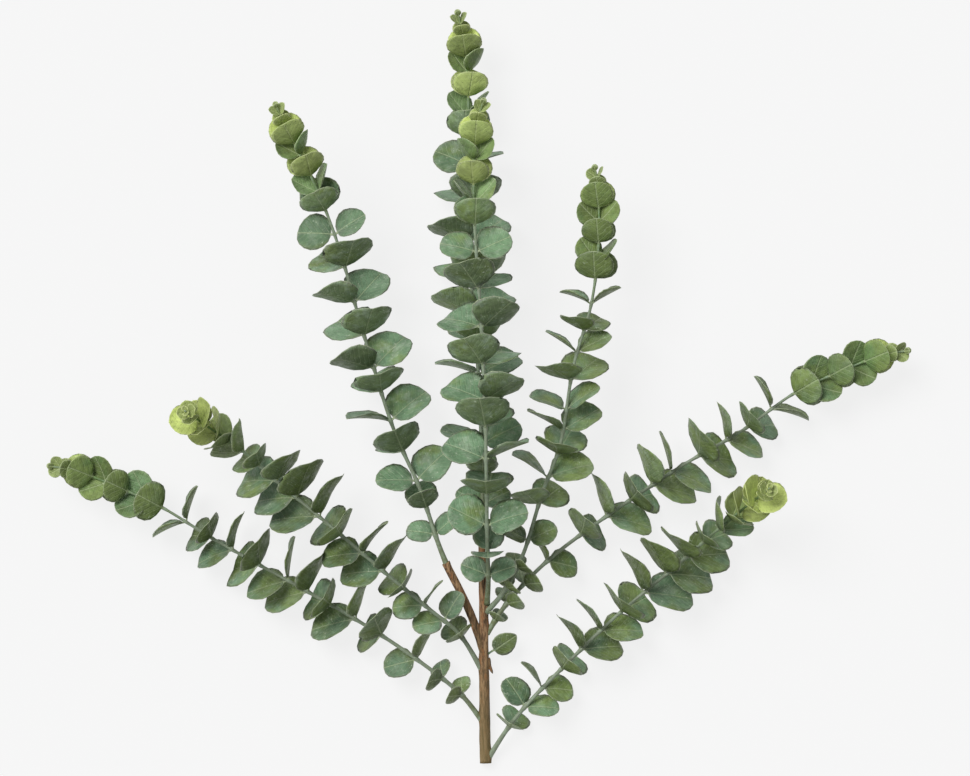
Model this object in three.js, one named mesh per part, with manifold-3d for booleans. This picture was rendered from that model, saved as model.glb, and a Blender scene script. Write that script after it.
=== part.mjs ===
// Eucalyptus leaf spray, cut and lying on a table.
// A brown woody trunk with one side twig carries eight long leafy stems. Each leafy stem bears its
// round cupped leaves in opposite pairs, every pair a quarter turn from the last, and ends in a pale
// young tip. One single leaf stands at the trunk.
// Millimetres. x runs to the right, y from the cut end to the tips, z up from the table top.
import * as THREE from 'three';
import Module from 'manifold-3d';

const wasm = await Module();
wasm.setup();

// The spray's own origin is the middle of its outline on the table; routes are measured from the cut end.
const CUT_END_TO_ORIGIN = new THREE.Vector3(5.6, -300.4, 0);

const BLADE_THICKNESS = 0.9;
// A leaf on the underside may reach this far below the table before it is pressed flat.
const PRESS_DEPTH = 8;

const STEM_SIDES = 5;
const RING_SPACING = { least: 7, most: 40 };
const RING_TURN = 6;
// A leafy stem's radius at shares of its length, from the wood to the tip.
const STEM_TAPER = [
  { share: 0, radius: 2.1 },
  { share: 0.12, radius: 1.6 },
  { share: 0.7, radius: 1.15 },
  { share: 1, radius: 0.7 },
];
const ROUTE_STEPS = 240;

const TRUNK_SIDES = 10;
const SOCKET_SIDES = 6;
const SOCKET_GAP = 0.3;
const SOCKET_REACH = 14;

// Where the pale tip of a stem begins, from the tip, and the gap to the green growth there.
const TIP_CUT = 57;
const TIP_GAP = 0.3;

// A leafy stem's leaf pairs by their distance from the tip, with the length and width of their blades, on
// a stem of GROWTH_LENGTH. The crowded young pairs are alike on every stem. The old pairs stand closer on
// the stems that lie sideways, and are broadest just below the turned-up tips.
const GROWTH_LENGTH = 404;
const YOUNG_PAIRS = [
  { at: 4, length: 6, width: 3 },
  { at: 10, length: 9, width: 6 },
  { at: 20, length: 13, width: 11 },
  { at: 37, length: 27, width: 28 },
  { at: 48, length: 24, width: 25 },
  { at: 67, length: 26, width: 28 },
  { at: 81, length: 26, width: 27 },
  { at: 98, length: 29, width: 33 },
  { at: 118, length: 31, width: 33 },
];
const WIDE_PAIRS = [
  { at: 147, length: 36, width: 42 },
  { at: 176, length: 38, width: 43 },
  { at: 205, length: 39, width: 44 },
  { at: 232, length: 39, width: 44 },
  { at: 253, length: 38, width: 42 },
  { at: 277, length: 38, width: 41 },
  { at: 305, length: 37, width: 39 },
  { at: 330, length: 35, width: 36 },
  { at: 354, length: 28, width: 26 },
  { at: 376, length: 25, width: 23 },
];
const CLOSE_PAIRS = [
  { at: 142, length: 31, width: 31 },
  { at: 161, length: 33, width: 34 },
  { at: 186, length: 40, width: 42 },
  { at: 211, length: 36, width: 38 },
  { at: 229, length: 39, width: 41 },
  { at: 250, length: 36, width: 38 },
  { at: 272, length: 40, width: 42 },
  { at: 297, length: 34, width: 34 },
  { at: 330, length: 28, width: 26 },
  { at: 356, length: 23, width: 19 },
  { at: 376, length: 22, width: 18 },
  { at: 392, length: 17, width: 14 },
];
const BROAD_PAIRS = [
  { at: 139, length: 43, width: 48 },
  { at: 163, length: 46, width: 53 },
  { at: 190, length: 47, width: 54 },
  { at: 217, length: 44, width: 48 },
  { at: 243, length: 40, width: 41 },
  { at: 268, length: 43, width: 46 },
  { at: 293, length: 38, width: 36 },
  { at: 318, length: 32, width: 29 },
  { at: 342, length: 32, width: 28 },
  { at: 366, length: 28, width: 30 },
];
const BUD_PAIRS = 3;
const TIP_PAIRS = 5;
const BARE_GAP_PAIR = 8;
const LOWEST_PAIRS = 16;

// Rows across a round leaf, at shares of the way from its root in the stem to its point. half is half
// the width there as a share of the greatest, and stalk is half the width of the short leaf stalk.
const LEAF_ROWS = [{ at: 0.12, stalk: 1.2 }, { at: 0.34, half: 0.93 }, { at: 0.74, half: 0.92 }];
const BUD_ROWS = [{ at: 0.5, half: 1 }];
// How a blade's middle line turns, in radians: young ones close over the tip and old ones curl back.
const BEND = { young: 0.35, old: -0.25 };
// The greatest spread between leaves of one place: degrees for azimuth and lean, radians for bend.
const SPREAD = { azimuth: 10, lean: 8, size: 0.08, bend: 0.3 };
// The upper face turns up on leaves beside and below the stem, and away on those that stand above it.
const LIGHT_TURN = { level: 1, rise: 4, least: -1.4, most: 1.3 };

// How a stem lies. azimuths gives each pair's turn about the stem, 0 and 180 being level with the table
// and 90 straight up from it. The other lists give the young leaves, the pair at the bare gap, the old
// leaves and the lowest ones: lean is a leaf's angle to its stem, nod and tuck bring the leaves above
// and below the stem closer to it, swing brings those on its right closer and those on its left away,
// plump is how much larger the young leaves are, light is how far the upper face turns up, and cup is
// how far the sides rise.
const POSTURES = {
  side: {
    oldPairs: CLOSE_PAIRS,
    azimuths: [
      90, 180, 90, 95, 180, 95, 185, 95, 180, 115, 165,
      120, 170, 155, 100, 160, 115, 165, 60, 60, 100,
    ],
    lean: [50, 58, 56, 60],
    nod: [9, 0, -8, 0],
    tuck: [25, 0, 0, 0],
    swing: 12,
    plump: 0,
    light: [1.6, 0.05, 0.35, 1.1],
    cup: [0.1, 0.3, 0.2, 0.15],
  },
  facing: {
    oldPairs: WIDE_PAIRS,
    azimuths: [90, 180, 90, 90, 200, 80, 190, 95, 188, 60, 150, 60, 155, 85, 165, 85, 175, 90, 180],
    lean: [50, 66, 64, 62],
    nod: [4, 0, 20, 10],
    tuck: [22, 0, 0, 30],
    swing: 0,
    plump: 0,
    light: [0.6, 1.2, 0.6, 1.1],
    cup: [0.3, 0.15, 0.25, 0.15],
  },
  upturned: {
    oldPairs: BROAD_PAIRS,
    azimuths: [60, 150, 60, 150, 60, 150, 60, 150, 110, 140, 150, 165, 105, 170, 160, 100, 165, 185, 95],
    lean: [56, 54, 56, 60],
    nod: [0, 0, -8, 0],
    tuck: [0, 0, 0, 0],
    swing: 14,
    plump: 0.14,
    light: [0, 0.3, 0.45, 1.1],
    cup: [0.35, 0.3, 0.2, 0.15],
  },
};

// Routes of the leafy stems, from where they leave the wood to their tips.
const STEMS = [
  {
    name: 'centre_back', posture: 'facing', mirrored: false, pairs: 19,
    route: [
      [-1.7, 177, 26.4], [-2, 215, 26], [-5, 306, 25], [-12, 400, 26], [-13, 500, 30],
      [-14, 553, 34], [-18, 582, 38], [-22, 600, 41],
    ],
  },
  {
    name: 'centre_front', posture: 'facing', mirrored: true, pairs: 19,
    route: [
      [1.6, 128, 22.5], [2.6, 150, 40], [1.5, 190, 66], [1, 236, 81], [0, 284, 85],
      [-3, 350, 86], [-8, 425, 88], [-9, 465, 90], [-7, 505, 94], [-1, 528, 98],
    ],
  },
  {
    name: 'upper_left', posture: 'facing', mirrored: false, pairs: 19,
    route: [
      [-30, 157.5, 25], [-38, 178, 28], [-52, 220, 32], [-73, 268, 38], [-95, 338, 50],
      [-118, 418, 66], [-138, 468, 77], [-156, 503, 86], [-166, 525, 92],
    ],
  },
  {
    name: 'upper_right', posture: 'side', mirrored: false, pairs: 20,
    route: [
      [1, 121, 20], [15, 138, 27], [31, 169, 35], [45, 215, 45], [60, 256, 54],
      [70, 316, 59], [84, 365, 60], [90, 410, 61], [90, 455, 62], [87, 476, 63],
    ],
  },
  {
    name: 'mid_right', posture: 'side', mirrored: false, pairs: 21,
    route: [
      [1.4, 104, 16], [19, 130, 20], [52, 164, 23], [96, 197, 24], [154, 236, 24],
      [205, 266, 24], [247, 296, 25], [290, 316, 27], [316, 326, 29], [338, 330, 31],
    ],
  },
  {
    name: 'lower_right', posture: 'upturned', mirrored: false, pairs: 19,
    route: [
      [2, 3, 4.9], [18, 28, 14], [36, 50, 20], [65, 80, 23], [108, 121, 24],
      [150, 156, 26], [184, 186, 35], [204, 203, 54], [217, 214, 78], [225, 221, 101],
    ],
  },
  {
    name: 'mid_left', posture: 'upturned', mirrored: true, pairs: 19,
    route: [
      [-2, 74, 12], [-20, 103, 22], [-42, 122, 32], [-76, 150, 41], [-118, 186, 46],
      [-160, 221, 46], [-194, 251, 48], [-215, 266, 62], [-229, 276, 84], [-237, 282, 106],
    ],
  },
  {
    name: 'lower_left', posture: 'side', mirrored: true, pairs: 20,
    route: [
      [-1.4, 33, 7], [-22, 58, 15], [-58, 86, 21], [-104, 116, 23], [-162, 149, 24],
      [-214, 178, 24], [-258, 205, 25], [-300, 224, 27], [-326, 234, 29], [-348, 238, 31],
    ],
  },
];

// The woody trunk and its side twig are one piece, with a ring of the listed radius at even steps.
const TRUNK = {
  route: [
    [0.4, 0, 4.6], [0, 20, 5.4], [-0.4, 50, 8.8], [-0.9, 90, 14], [-1.2, 130, 20],
    [-1.7, 165, 25.4], [-1.7, 181, 28],
  ],
  radii: [4.5, 4.3, 4.1, 3.9, 3.7, 3.5, 3.3, 3.2],
};
const TWIG = {
  route: [
    [-0.9, 88, 14], [-7, 108, 17], [-17, 132, 20.5], [-31.5, 160.5, 25.6],
  ],
  radii: [3.2, 3.2, 3.1, 3.0, 2.9],
};
// Corners of the bark spur on the trunk's right side, its point last.
const SPUR_CORNERS = [[1.4, 83.5, 12.9], [1.4, 65.2, 12.4], [1.4, 72, 8.5], [6.4, 71.6, 11.2]];
const SPUR_FACES = [[0, 1, 2], [0, 3, 1], [1, 3, 2], [2, 3, 0]];
const TRUNK_LEAF = {
  route: [
    [1.6, 87, 13.9], [5, 89.5, 14.4], [9, 92, 15],
  ],
  stalkRadius: 1.0,
  rootAlong: 4.5,
  facing: [0.1, -0.25, 1],
  shape: { length: 24, width: 19, cup: 0.15, bend: -0.2 },
};

const COLOURS = { wood: 0x7d5a3c, leaf: 0x62855a, youngLeaf: 0xa9bb62 };
const ROUGHNESS = { wood: 0.8, leaf: 0.6 };

function solidOf(positions, triangles) {
  return new wasm.Manifold(new wasm.Mesh({
    numProp: 3,
    vertProperties: Float32Array.from(positions),
    triVerts: Uint32Array.from(triangles),
  }));
}

// A route sampled into even steps of its parameter, with the tangent, the level right-hand side and
// the outward top carried along it without twist.
function routeFrames(points) {
  const knots = points.map((p) => new THREE.Vector3(...p));
  const curve = new THREE.CatmullRomCurve3(knots, false, 'catmullrom', 0.5);
  const samples = [];
  for (let i = 0; i <= ROUTE_STEPS; i += 1) samples.push(curve.getPoint(i / ROUTE_STEPS));
  const frames = [];
  let along = 0;
  let top = new THREE.Vector3(0, 0, 1);
  samples.forEach((point, i) => {
    const ahead = samples[Math.min(i + 1, ROUTE_STEPS)];
    const behind = samples[Math.max(i - 1, 0)];
    const tangent = ahead.clone().sub(behind).normalize();
    if (i > 0) along += point.distanceTo(samples[i - 1]);
    top = top.clone().addScaledVector(tangent, -top.dot(tangent)).normalize();
    frames.push({ along, point, tangent, top, side: tangent.clone().cross(top) });
  });
  return frames;
}

function frameAt(frames, along) {
  let i = 1;
  while (i < frames.length - 1 && frames[i].along < along) i += 1;
  const [a, b] = [frames[i - 1], frames[i]];
  const share = THREE.MathUtils.clamp((along - a.along) / (b.along - a.along), 0, 1);
  const mix = (key) => a[key].clone().lerp(b[key], share);
  const tangent = mix('tangent').normalize();
  const top = mix('top');
  top.addScaledVector(tangent, -top.dot(tangent)).normalize();
  return { point: mix('point'), tangent, top, side: tangent.clone().cross(top) };
}

// A round bar through rings of the given radius, flat at both ends.
function bar(rings, sides) {
  const positions = [];
  const triangles = [];
  rings.forEach(({ frame, radius }, ring) => {
    for (let k = 0; k < sides; k += 1) {
      const angle = (2 * Math.PI * (k + 0.5)) / sides;
      const spot = frame.point.clone()
        .addScaledVector(frame.side, radius * Math.cos(angle))
        .addScaledVector(frame.top, radius * Math.sin(angle));
      positions.push(spot.x, spot.y, spot.z);
      if (ring === 0) continue;
      const next = (k + 1) % sides;
      const [a, b] = [(ring - 1) * sides + k, (ring - 1) * sides + next];
      triangles.push(a, b + sides, b, a, a + sides, b + sides);
    }
  });
  const last = (rings.length - 1) * sides;
  for (let k = 1; k < sides - 1; k += 1) {
    triangles.push(0, k, k + 1, last, last + k + 1, last + k);
  }
  return solidOf(positions, triangles);
}

// One blade: a sheet of even thickness between a pointed root and a pointed tip. Its middle line bends
// towards or away from the stem's tip by bend, in radians, and its sides rise into a cup. What would
// pass through the table is pressed flat on it.
function blade({ root, direction, normal, length, width, cup, bend, rows }) {
  const across = direction.clone().cross(normal);
  const middle = (share) => {
    const turn = bend * share;
    return {
      centre: root.clone()
        .addScaledVector(direction, (length * Math.sin(turn)) / bend)
        .addScaledVector(normal, (length * (1 - Math.cos(turn))) / bend),
      facing: normal.clone().multiplyScalar(Math.cos(turn)).addScaledVector(direction, -Math.sin(turn)),
    };
  };
  const spots = [root.clone()];
  const rowsOfFaces = rows.map((row) => {
    const { centre, facing } = middle(row.at);
    const half = row.stalk ?? (row.half * width) / 2;
    return (row.stalk ? [-1, 1] : [-1, 0, 1]).map((u) => {
      const spot = centre.clone()
        .addScaledVector(across, u * half)
        .addScaledVector(facing, cup * u * u * half);
      const pressed = spot.z < BLADE_THICKNESS / 2;
      const offset = pressed ? new THREE.Vector3(0, 0, 1) : facing;
      if (pressed) spot.z = BLADE_THICKNESS / 2;
      spots.push(spot.clone().addScaledVector(offset, BLADE_THICKNESS / 2));
      spots.push(spot.clone().addScaledVector(offset, -BLADE_THICKNESS / 2));
      return { upper: spots.length - 2, under: spots.length - 1 };
    });
  });
  const point = middle(1).centre;
  point.z = Math.max(point.z, 0);
  spots.push(point);
  const end = { upper: spots.length - 1, under: spots.length - 1 };
  const strips = [[{ upper: 0, under: 0 }], ...rowsOfFaces, [end]];
  const triangles = [];
  const face = (p, q, r) => triangles.push(p.upper, q.upper, r.upper, p.under, r.under, q.under);
  for (let r = 0; r + 1 < strips.length; r += 1) {
    const [a, b] = [strips[r], strips[r + 1]];
    // Both rows are walked from left to right; the row with fewer spots waits for the other.
    let [i, k] = [0, 0];
    while (i < a.length - 1 || k < b.length - 1) {
      const far = k < b.length - 1 && (i === a.length - 1 || k <= i);
      if (far) {
        face(a[i], b[k + 1], b[k]);
        k += 1;
      } else {
        face(a[i], a[i + 1], b[k]);
        i += 1;
      }
    }
  }
  const rightEdge = strips.map((row) => row[row.length - 1]);
  const leftEdge = rowsOfFaces.map((row) => row[0]).reverse();
  const outline = [...rightEdge, ...leftEdge];
  outline.forEach((p, n) => {
    const q = outline[(n + 1) % outline.length];
    if (p.upper === p.under) triangles.push(p.upper, q.under, q.upper);
    else if (q.upper === q.under) triangles.push(p.under, q.upper, p.upper);
    else triangles.push(p.under, q.under, q.upper, p.under, q.upper, p.upper);
  });
  return solidOf(spots.flatMap((spot) => spot.toArray()), triangles);
}

// A share between 0 and 1 that is the same each time for the same number.
function scatter(number) {
  const wave = Math.sin(number * 12.9898) * 43758.5453;
  return wave - Math.floor(wave);
}

const radians = THREE.MathUtils.degToRad;

// Which entry of a posture's lists a pair takes: young, at the bare gap, old or lowest.
function ageOf(index) {
  if (index >= LOWEST_PAIRS) return 3;
  return Math.sign(index - BARE_GAP_PAIR) + 1;
}

// The two opposite leaves of one pair.
function leafPair(stem, stemIndex, frames, growthScale, index) {
  const posture = POSTURES[stem.posture];
  const pair = [...YOUNG_PAIRS, ...posture.oldPairs][index];
  const length = frames[frames.length - 1].along;
  const frame = frameAt(frames, length - pair.at * growthScale);
  const age = ageOf(index);
  return [0, 1].map((which) => {
    const seed = stemIndex * 100 + index * 2 + which + 1;
    const wander = (key, shift) => SPREAD[key] * (scatter(seed + shift) - 0.5);
    const azimuth = posture.azimuths[index] + 180 * which + wander('azimuth', 0.3);
    const sway = age > 0 ? posture.swing * Math.cos(radians(azimuth)) : 0;
    const phi = radians(stem.mirrored ? 180 - azimuth : azimuth);
    const out = frame.side.clone().multiplyScalar(Math.cos(phi));
    out.addScaledVector(frame.top, Math.sin(phi));
    const closer = out.z > 0 ? posture.nod[age] * out.z : -posture.tuck[age] * out.z;
    let lean = radians(posture.lean[age] - closer - sway + wander('lean', 0.7));
    const fall = -out.z * Math.sin(lean) * pair.length;
    const room = frame.point.z + PRESS_DEPTH;
    if (fall > room) lean = Math.asin(Math.min(1, room / (-out.z * pair.length)));
    const direction = frame.tangent.clone().multiplyScalar(Math.cos(lean));
    direction.addScaledVector(out, Math.sin(lean));
    const normal = frame.tangent.clone().multiplyScalar(Math.sin(lean));
    normal.addScaledVector(out, -Math.cos(lean));
    const { level, rise, least, most } = LIGHT_TURN;
    normal.z += posture.light[age] * THREE.MathUtils.clamp(level - rise * out.z, least, most);
    normal.addScaledVector(direction, -normal.dot(direction)).normalize();
    const plump = age === 0 ? posture.plump : 0;
    const size = Math.min(1, growthScale) + wander('size', 0.5) + plump;
    return blade({
      root: frame.point,
      direction,
      normal,
      rows: index < BUD_PAIRS ? BUD_ROWS : LEAF_ROWS,
      length: pair.length * size,
      width: pair.width * size,
      cup: posture.cup[age],
      bend: age === 0 ? BEND.young : BEND.old + wander('bend', 0.9),
    });
  });
}

function stemRadius(share) {
  const within = Math.min(share, 1);
  const next = STEM_TAPER.findIndex((knot, i) => i > 0 && within <= knot.share);
  const [a, b] = [STEM_TAPER[next - 1], STEM_TAPER[next]];
  return THREE.MathUtils.mapLinear(within, a.share, b.share, a.radius, b.radius);
}

// The stem itself, with a ring wherever its route has turned by RING_TURN degrees since the last.
function stemBar(frames, from, to, radiusAt = stemRadius) {
  const total = frames[frames.length - 1].along;
  const rings = [];
  const addRing = (along) => {
    rings.push({ frame: frameAt(frames, along), radius: radiusAt(along / total), along });
  };
  addRing(from);
  frames.forEach(({ along, tangent }) => {
    const last = rings[rings.length - 1];
    const gone = along - last.along;
    const turned = THREE.MathUtils.radToDeg(tangent.angleTo(last.frame.tangent));
    if (gone < RING_SPACING.least || to - along < RING_SPACING.least) return;
    if (gone > RING_SPACING.most || turned > RING_TURN) addRing(along);
  });
  addRing(to);
  return bar(rings, STEM_SIDES);
}

function fuse(solids) {
  return solids.reduce((whole, solid) => whole.add(solid));
}

// A leafy stem as two solids, the green growth and its pale tip, which meet face to face.
function leafyStem(stem, stemIndex) {
  const frames = routeFrames(stem.route);
  const total = frames[frames.length - 1].along;
  const growthScale = total / GROWTH_LENGTH;
  const tipStart = total - TIP_CUT * growthScale;
  const green = [stemBar(frames, 0, tipStart - TIP_GAP)];
  const pale = [stemBar(frames, tipStart, total)];
  for (let index = 0; index < stem.pairs; index += 1) {
    const leaves = leafPair(stem, stemIndex, frames, growthScale, index);
    (index < TIP_PAIRS ? pale : green).push(...leaves);
  }
  return { green: fuse(green), pale: fuse(pale), hole: socket(frames, stemRadius(0)) };
}

// The hole in the wood that a stem's end stands in, as wide as the stem and a gap all round.
function socket(frames, stemEndRadius) {
  const reach = Math.min(SOCKET_REACH, frames[frames.length - 1].along);
  const start = frameAt(frames, 0);
  start.point.addScaledVector(start.tangent, -SOCKET_GAP);
  const radius = (stemEndRadius + SOCKET_GAP) / Math.cos(Math.PI / SOCKET_SIDES);
  const rings = [0.5, 1].map((share) => ({ frame: frameAt(frames, share * reach), radius }));
  return bar([{ frame: start, radius }, ...rings], SOCKET_SIDES);
}

function woodBar({ route, radii }) {
  const frames = routeFrames(route);
  const total = frames[frames.length - 1].along;
  const step = total / (radii.length - 1);
  const rings = radii.map((radius, i) => ({ frame: frameAt(frames, step * i), radius }));
  return bar(rings, TRUNK_SIDES);
}

// The single leaf at the trunk, on a short stalk of its own.
function trunkLeaf() {
  const { route, stalkRadius, rootAlong, facing, shape } = TRUNK_LEAF;
  const frames = routeFrames(route);
  const { along, tangent } = frames[frames.length - 1];
  const stalk = stemBar(frames, 0, along, () => stalkRadius);
  const normal = new THREE.Vector3(...facing);
  normal.addScaledVector(tangent, -normal.dot(tangent)).normalize();
  const root = frameAt(frames, rootAlong).point;
  const leaf = blade({ root, direction: tangent, normal, rows: LEAF_ROWS, ...shape });
  return { solid: stalk.add(leaf), hole: socket(frames, stalkRadius) };
}

function meshOf(name, solid, colour, roughness) {
  const { vertProperties, triVerts } = solid.getMesh();
  const geometry = new THREE.BufferGeometry();
  geometry.setAttribute('position', new THREE.BufferAttribute(vertProperties, 3));
  geometry.setIndex(new THREE.BufferAttribute(triVerts, 1));
  const material = new THREE.MeshStandardMaterial({ color: colour, roughness, metalness: 0 });
  const mesh = new THREE.Mesh(geometry, material);
  mesh.name = name;
  return mesh;
}

const spray = new THREE.Group();
const stems = STEMS.map((stem, i) => leafyStem(stem, i));
const singleLeaf = trunkLeaf();
const spur = solidOf(SPUR_CORNERS.flat(), SPUR_FACES.flat());
const uncutWood = fuse([woodBar(TRUNK), woodBar(TWIG), spur]);
const wood = [...stems, singleLeaf].reduce((whole, { hole }) => whole.subtract(hole), uncutWood);
spray.add(meshOf('trunk', wood, COLOURS.wood, ROUGHNESS.wood));
spray.add(meshOf('trunk_leaf', singleLeaf.solid, COLOURS.leaf, ROUGHNESS.leaf));
stems.forEach(({ green, pale }, i) => {
  spray.add(meshOf(`leafy_stem_${STEMS[i].name}`, green, COLOURS.leaf, ROUGHNESS.leaf));
  spray.add(meshOf(`young_tip_${STEMS[i].name}`, pale, COLOURS.youngLeaf, ROUGHNESS.leaf));
});
spray.position.copy(CUT_END_TO_ORIGIN);

export default spray;
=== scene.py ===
"""Eucalyptus leaf spray, cut and lying on a pale table, seen from straight above.

A brown trunk with one side twig and one single leaf carries eight leafy stems. Every stem is the same
growth: opposite pairs of round cupped leaves, most of them turned well away from the pair before, and a
pale young tip. Routes and sizes are in millimetres, measured from the cut end of the trunk, and become
metres in the meshes.
"""

import bpy
import numpy as np
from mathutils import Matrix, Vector


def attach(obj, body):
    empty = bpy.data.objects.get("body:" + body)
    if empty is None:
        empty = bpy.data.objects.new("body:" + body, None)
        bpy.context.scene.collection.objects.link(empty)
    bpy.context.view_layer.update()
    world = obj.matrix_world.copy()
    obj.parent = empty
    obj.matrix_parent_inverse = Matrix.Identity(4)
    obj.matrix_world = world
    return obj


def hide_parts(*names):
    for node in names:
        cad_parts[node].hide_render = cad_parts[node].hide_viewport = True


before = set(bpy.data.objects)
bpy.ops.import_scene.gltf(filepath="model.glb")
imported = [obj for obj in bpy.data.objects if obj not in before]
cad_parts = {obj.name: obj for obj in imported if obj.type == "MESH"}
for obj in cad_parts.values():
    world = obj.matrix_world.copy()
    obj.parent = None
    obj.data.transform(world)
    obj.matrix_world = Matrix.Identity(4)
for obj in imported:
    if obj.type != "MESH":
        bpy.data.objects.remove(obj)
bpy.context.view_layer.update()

bl_info = {
    "name": "Eucalyptus Leaf Spray",
    "version": (1, 0, 0),
    "blender": (4, 5, 0),
    "location": "View3D > Sidebar > Leaf Spray",
    "description": "Builds a branched eucalyptus spray with cupped leaves in opposite pairs",
    "category": "Add Mesh",
}

MM = 0.001

# The spray's own origin is the middle of its outline on the table.
CUT_END_TO_ORIGIN = np.array([5.6, -300.4, 0.0])
ROUTE_STEPS = 240

# Leaf pairs by their distance from the stem's tip, with the length and width of their blades. The
# young ones are alike on every stem, and the old ones stand closer on the stems that lie sideways.
GROWTH_LENGTH = 404
YOUNG_PAIRS = [
    (4, 6, 5.4), (10, 11, 11.5), (20, 14, 15), (37, 27, 28), (48, 24, 25), (67, 26, 28), (81, 26, 27),
    (98, 29, 33), (118, 31, 33),
]
WIDE_PAIRS = [
    (147, 36, 42), (176, 38, 43), (205, 39, 44), (232, 39, 44), (253, 38, 42), (277, 38, 41),
    (305, 37, 39), (330, 35, 36), (354, 28, 26), (376, 25, 23),
]
CLOSE_PAIRS = [
    (142, 31, 31), (161, 33, 34), (186, 40, 42), (211, 36, 38), (229, 39, 41), (250, 36, 38),
    (272, 40, 42), (297, 34, 34), (330, 28, 26), (356, 23, 19), (376, 22, 18), (392, 17, 14),
]
BROAD_PAIRS = [
    (139, 43, 48), (163, 46, 53), (190, 47, 54), (217, 44, 48), (243, 40, 41), (268, 43, 46),
    (293, 38, 36), (318, 32, 29), (342, 32, 28), (366, 28, 30),
]
BUD_PAIRS = 3
TIP_PAIRS = 5
BARE_GAP_PAIR = 8
LOWEST_PAIRS = 16
BLADE_THICKNESS_IN_SOLID = 0.9
PRESS_DEPTH = 8
BEND = {"young": 0.35, "old": -0.25}
SPREAD = {"azimuth": 10, "lean": 8, "size": 0.08, "bend": 0.3, "warmth": 0.5}
LIGHT_TURN = {"level": 1, "rise": 4, "least": -1.4, "most": 1.3}
STEM_TAPER = [(0, 2.1), (0.12, 1.6), (0.7, 1.15), (1, 0.7)]
TURNING = {"start": 40, "length": 90}

# How a stem lies. azimuths gives each pair's turn about the stem, 0 and 180 being level with the table.
# The other lists give the young leaves, the pair at the bare gap, the old leaves and the lowest ones.
# plump is how much larger the young leaves are, bright and pale are how yellow their upper faces and
# undersides are, pair by pair, and warm is how olive the green leaves are.
POSTURES = {
    "side": {
        "old_pairs": CLOSE_PAIRS,
        "azimuths": [
            90, 180, 90, 95, 180, 95, 185, 95, 180, 115, 165, 120, 170, 155, 100, 160, 115, 165,
            60, 60, 100,
        ],
        "lean": [50, 58, 56, 60], "nod": [9, 0, -8, 0], "tuck": [25, 0, 0, 0], "swing": 12, "plump": 0,
        "light": [1.6, 0.05, 0.35, 1.1], "cup": [0.1, 0.3, 0.2, 0.15],
        "bright": [0.3, 0.4, 0.5, 0.6, 0.05, 0.1, 0, 0, 0],
        "pale": [0.2, 0.3, 0.15, 0, 0, 0, 0, 0, 0],
        "warm": 0.75,
    },
    "facing": {
        "old_pairs": WIDE_PAIRS,
        "azimuths": [
            90, 180, 90, 90, 200, 80, 190, 95, 188, 60, 150, 60, 155, 85, 165, 85, 175, 90, 180,
        ],
        "lean": [50, 66, 64, 62], "nod": [4, 0, 20, 10], "tuck": [22, 0, 0, 30], "swing": 0, "plump": 0,
        "light": [0.6, 1.2, 0.6, 1.1], "cup": [0.3, 0.15, 0.25, 0.15],
        "bright": [0.4, 0.6, 0.9, 0.9, 0.15, 0.75, 0.1, 0, 0],
        "pale": [0.3, 0.45, 0.8, 0.5, 0, 0.6, 0, 0, 0],
        "warm": 0.15,
    },
    "upturned": {
        "old_pairs": BROAD_PAIRS,
        "azimuths": [
            60, 150, 60, 150, 60, 150, 60, 150, 110, 140, 150, 165, 105, 170, 160, 100, 165, 185, 95,
        ],
        "lean": [56, 54, 56, 60], "nod": [0, 0, -8, 0], "tuck": [0, 0, 0, 0], "swing": 14, "plump": 0.14,
        "light": [0, 0.3, 0.45, 1.1], "cup": [0.35, 0.3, 0.2, 0.15],
        "bright": [1, 1, 1, 1, 1, 0.9, 0.35, 0, 0],
        "pale": [0.9, 0.9, 0.9, 0.9, 0.8, 0.5, 0.1, 0, 0],
        "warm": 0.7,
    },
}

# Routes of the leafy stems, from where they leave the wood to their tips.
STEMS = [
    ("centre_back", "facing", False, 19, [
        (-1.7, 177, 26.4), (-2, 215, 26), (-5, 306, 25), (-12, 400, 26), (-13, 500, 30),
        (-14, 553, 34), (-18, 582, 38), (-22, 600, 41)]),
    ("centre_front", "facing", True, 19, [
        (1.6, 128, 22.5), (2.6, 150, 40), (1.5, 190, 66), (1, 236, 81), (0, 284, 85),
        (-3, 350, 86), (-8, 425, 88), (-9, 465, 90), (-7, 505, 94), (-1, 528, 98)]),
    ("upper_left", "facing", False, 19, [
        (-30, 157.5, 25), (-38, 178, 28), (-52, 220, 32), (-73, 268, 38), (-95, 338, 50),
        (-118, 418, 66), (-138, 468, 77), (-156, 503, 86), (-166, 525, 92)]),
    ("upper_right", "side", False, 20, [
        (1, 121, 20), (15, 138, 27), (31, 169, 35), (45, 215, 45), (60, 256, 54),
        (70, 316, 59), (84, 365, 60), (90, 410, 61), (90, 455, 62), (87, 476, 63)]),
    ("mid_right", "side", False, 21, [
        (1.4, 104, 16), (19, 130, 20), (52, 164, 23), (96, 197, 24), (154, 236, 24),
        (205, 266, 24), (247, 296, 25), (290, 316, 27), (316, 326, 29), (338, 330, 31)]),
    ("lower_right", "upturned", False, 19, [
        (2, 3, 4.9), (18, 28, 14), (36, 50, 20), (65, 80, 23), (108, 121, 24),
        (150, 156, 26), (184, 186, 35), (204, 203, 54), (217, 214, 78), (225, 221, 101)]),
    ("mid_left", "upturned", True, 19, [
        (-2, 74, 12), (-20, 103, 22), (-42, 122, 32), (-76, 150, 41), (-118, 186, 46),
        (-160, 221, 46), (-194, 251, 48), (-215, 266, 62), (-229, 276, 84), (-237, 282, 106)]),
    ("lower_left", "side", True, 20, [
        (-1.4, 33, 7), (-22, 58, 15), (-58, 86, 21), (-104, 116, 23), (-162, 149, 24),
        (-214, 178, 24), (-258, 205, 25), (-300, 224, 27), (-326, 234, 29), (-348, 238, 31)]),
]

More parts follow.
